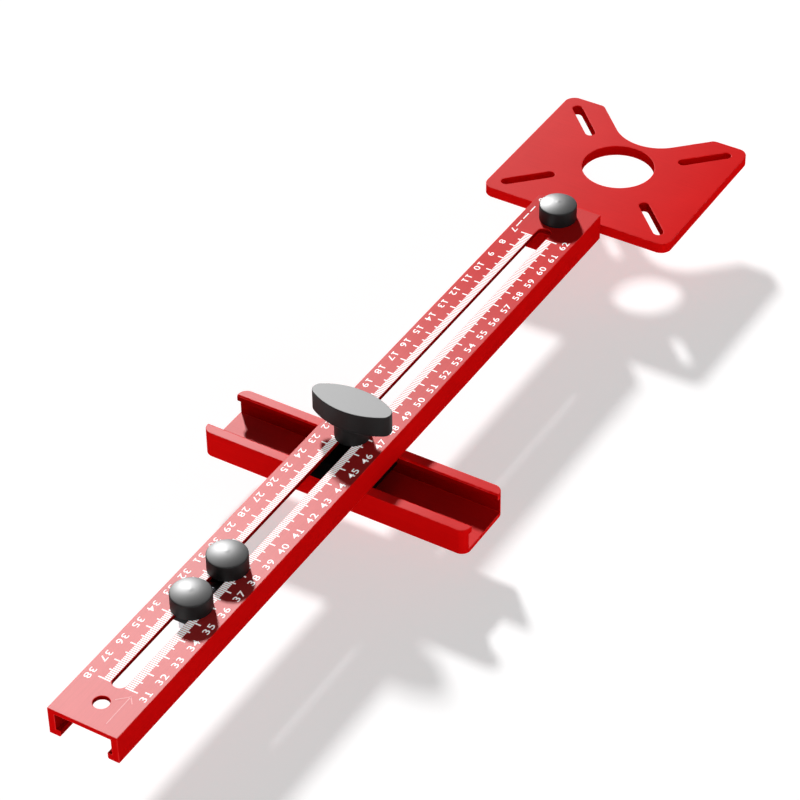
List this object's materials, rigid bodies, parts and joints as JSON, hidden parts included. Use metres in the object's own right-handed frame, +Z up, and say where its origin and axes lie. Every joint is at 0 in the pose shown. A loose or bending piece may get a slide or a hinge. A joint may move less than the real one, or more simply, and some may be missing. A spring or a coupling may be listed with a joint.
{
  "type": "router circle cutting jig",
  "caption": "Router circle cutting jig: a slotted channel beam with a router plate at its end, a sliding pivot held by knobs and a cross fence clamped by an oval knob.",
  "frame": {"origin": "centre of the bit opening on the router plate's top face", "axes": "+Y along the beam towards the router plate, +Z up through the bit opening, +X to the right of someone looking along +Y"},
  "size_m": [0.122, 0.4448, 0.0426],
  "materials": {
    "red_aluminium": "satin red anodised",
    "black_plastic": "satin, moulded",
    "dark_steel": "blackened",
    "plated_steel": "zinc plated",
    "brass": "turned"
  },
  "bodies": {
    "beam": {"beam": "red_aluminium", "router_plate": "red_aluminium", "plate_thread_insert": "plated_steel"},
    "plate_knob": {"plate_knob": "black_plastic", "plate_knob_stud": "plated_steel"},
    "fence_carriage": {"fence_slider": "black_plastic", "fence_clamp_plate": "plated_steel", "fence_bolt": "plated_steel"},
    "fence": {"fence_channel": "red_aluminium"},
    "fence_knob": {"fence_knob": "black_plastic", "fence_knob_insert": "brass"},
    "pivot_carriage": {"pivot_bar": "dark_steel", "pivot_pin": "plated_steel", "pivot_pin_nut": "plated_steel", "pivot_nut_near": "plated_steel", "pivot_nut_far": "plated_steel"},
    "pivot_knob_near": {"pivot_knob_near": "black_plastic", "pivot_stud_near": "plated_steel"},
    "pivot_knob_far": {"pivot_knob_far": "black_plastic", "pivot_stud_far": "plated_steel"}
  },
  "joints": [
    {"name": "plate_knob_turn", "type": "hinge", "parent": "beam", "child": "plate_knob", "pos_m": [0, -0.0562, 0.0074], "axis": [0, 0, 1], "range_deg": [0, 360]},
    {"name": "fence_slide", "type": "slide", "parent": "beam", "child": "fence_carriage", "axis": [0, 1, 0], "range_m": [-0.02, 0.138]},
    {"name": "fence_shift", "type": "slide", "parent": "fence_carriage", "child": "fence", "axis": [1, 0, 0], "range_m": [-0.04, 0.04]},
    {"name": "fence_knob_turn", "type": "hinge", "parent": "fence_carriage", "child": "fence_knob", "pos_m": [0, -0.2238, 0.0074], "axis": [0, 0, 1], "range_deg": [0, 360]},
    {"name": "pivot_slide", "type": "slide", "parent": "beam", "child": "pivot_carriage", "axis": [0, 1, 0], "range_m": [-0.0448, 0.0405]},
    {"name": "pivot_knob_near_turn", "type": "hinge", "parent": "pivot_carriage", "child": "pivot_knob_near", "pos_m": [0, -0.3362, 0.0074], "axis": [0, 0, 1], "range_deg": [0, 360]},
    {"name": "pivot_knob_far_turn", "type": "hinge", "parent": "pivot_carriage", "child": "pivot_knob_far", "pos_m": [0, -0.3122, 0.0074], "axis": [0, 0, 1], "range_deg": [0, 360]}
  ]
}
